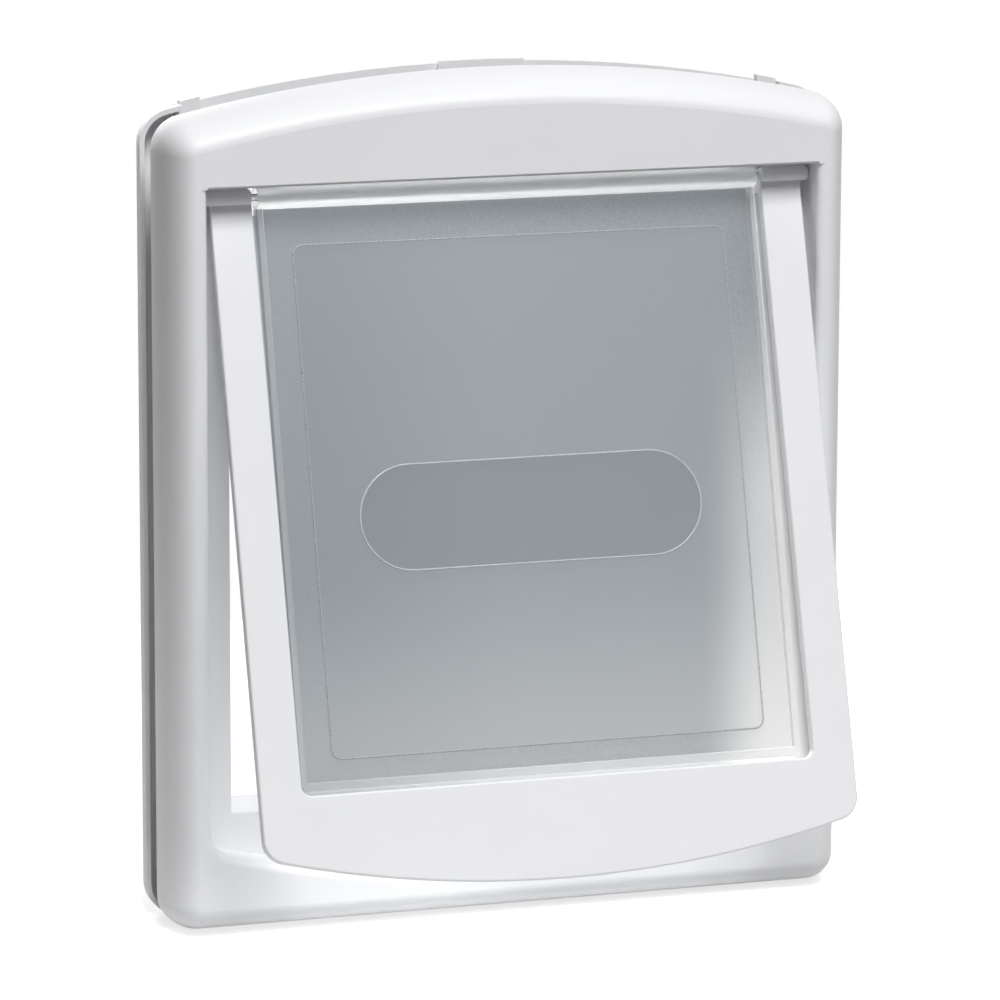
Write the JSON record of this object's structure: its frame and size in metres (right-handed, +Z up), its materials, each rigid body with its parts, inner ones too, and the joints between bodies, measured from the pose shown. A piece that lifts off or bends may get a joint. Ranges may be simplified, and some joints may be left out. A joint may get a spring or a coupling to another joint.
{
  "type": "pet door",
  "caption": "Framed pet door with an arched front frame, a rear frame, an outward-swinging surround and a frosted inward-swinging window on one hinge axis.",
  "frame": {"origin": "middle of the front frame's width and height, on the plane of its rim, where the door leaf's face is", "axes": "+X right seen from the front, +Y from the front into the door leaf, +Z up"},
  "size_m": [0.294, 0.1249, 0.352],
  "materials": {
    "white_plastic": "satin gloss",
    "frosted_plastic": "frosted, translucent",
    "steel": "bright zinc"
  },
  "bodies": {
    "frame": {"front_frame": "white_plastic", "rear_frame": "white_plastic", "frame_screws": "steel"},
    "surround": {"flap_surround": "white_plastic", "hinge_rod": "steel"},
    "window": {"flap_window": "frosted_plastic"}
  },
  "joints": [
    {"name": "surround_swing", "type": "hinge", "parent": "frame", "child": "surround", "pos_m": [0, -0.012, 0.128], "axis": [-1, 0, 0], "range_deg": [-17.2, 62.8]},
    {"name": "window_swing", "type": "hinge", "parent": "surround", "child": "window", "pos_m": [0, -0.012, 0.128], "axis": [-1, 0, 0], "range_deg": [-75, 1.4]}
  ]
}
